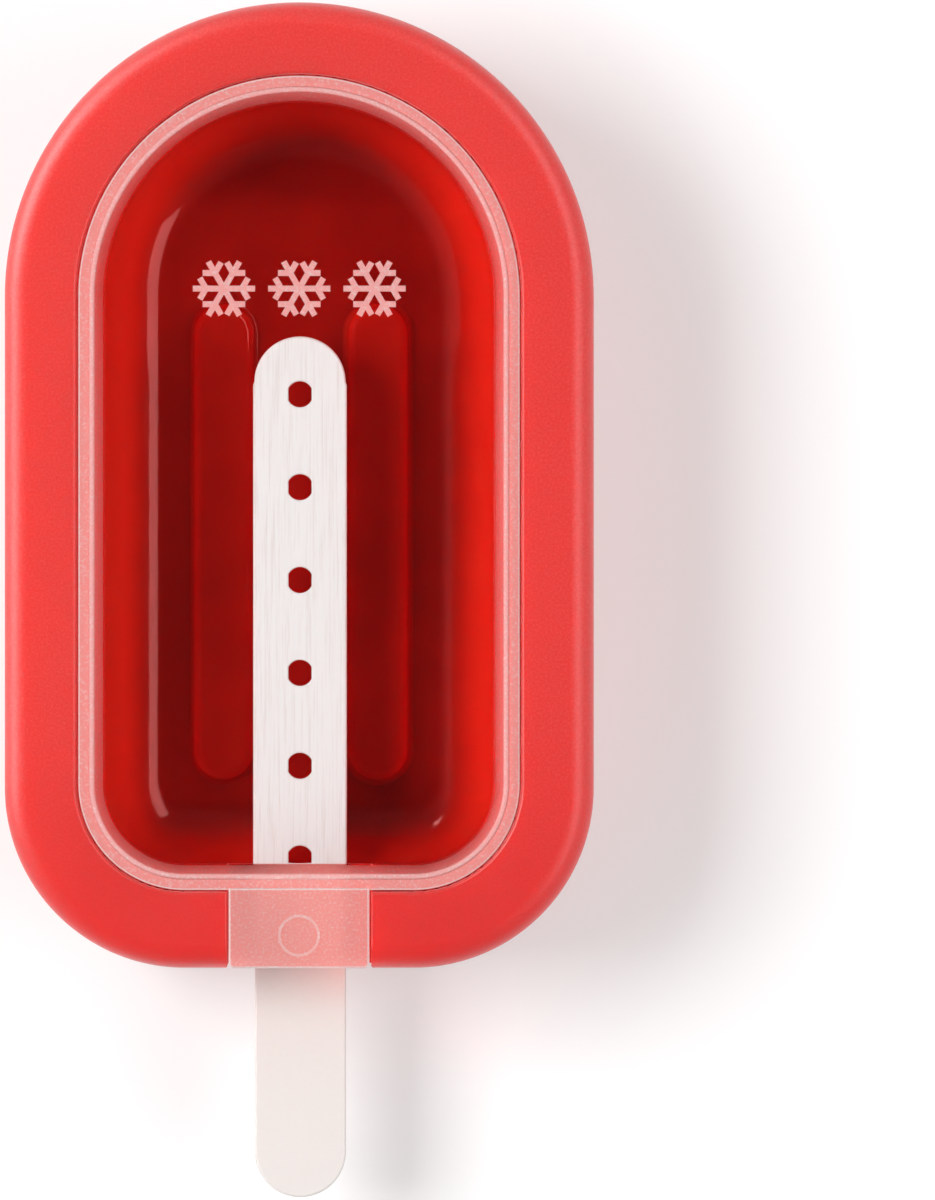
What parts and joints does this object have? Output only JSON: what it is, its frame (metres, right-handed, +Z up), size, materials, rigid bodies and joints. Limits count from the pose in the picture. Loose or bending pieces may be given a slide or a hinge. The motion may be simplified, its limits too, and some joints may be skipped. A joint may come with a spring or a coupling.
{
  "type": "ice pop mold",
  "caption": "Arch-shaped soft ice pop mold with a clear lift-off lid, a front tab and a flat reusable stick that slides in through the front wall.",
  "frame": {"origin": "centre of the whole footprint, on the surface that the mold stands on", "axes": "+Y from the handle of the stick towards the arch of the mold, +X to the right seen from above with the handle towards the viewer, +Z up"},
  "size_m": [0.072, 0.1465, 0.0331],
  "materials": {
    "silicone": "red silicone, fine matte outside, glossy in the cavity",
    "lid_plastic": "clear glossy pane, frosted flange, slope and tab",
    "stick_plastic": "opaque white, brushed blade, lightly pebbled handle"
  },
  "bodies": {
    "body": {"mold_body": "silicone"},
    "lid": {"lid": "lid_plastic"},
    "stick": {"stick": "stick_plastic"}
  },
  "joints": [
    {"name": "lid_lift", "type": "slide", "parent": "body", "child": "lid", "axis": [0, 0, 1], "range_m": [0, 0.05]},
    {"name": "stick_pull", "type": "slide", "parent": "body", "child": "stick", "axis": [0, -1, 0], "range_m": [0, 0.079]}
  ]
}
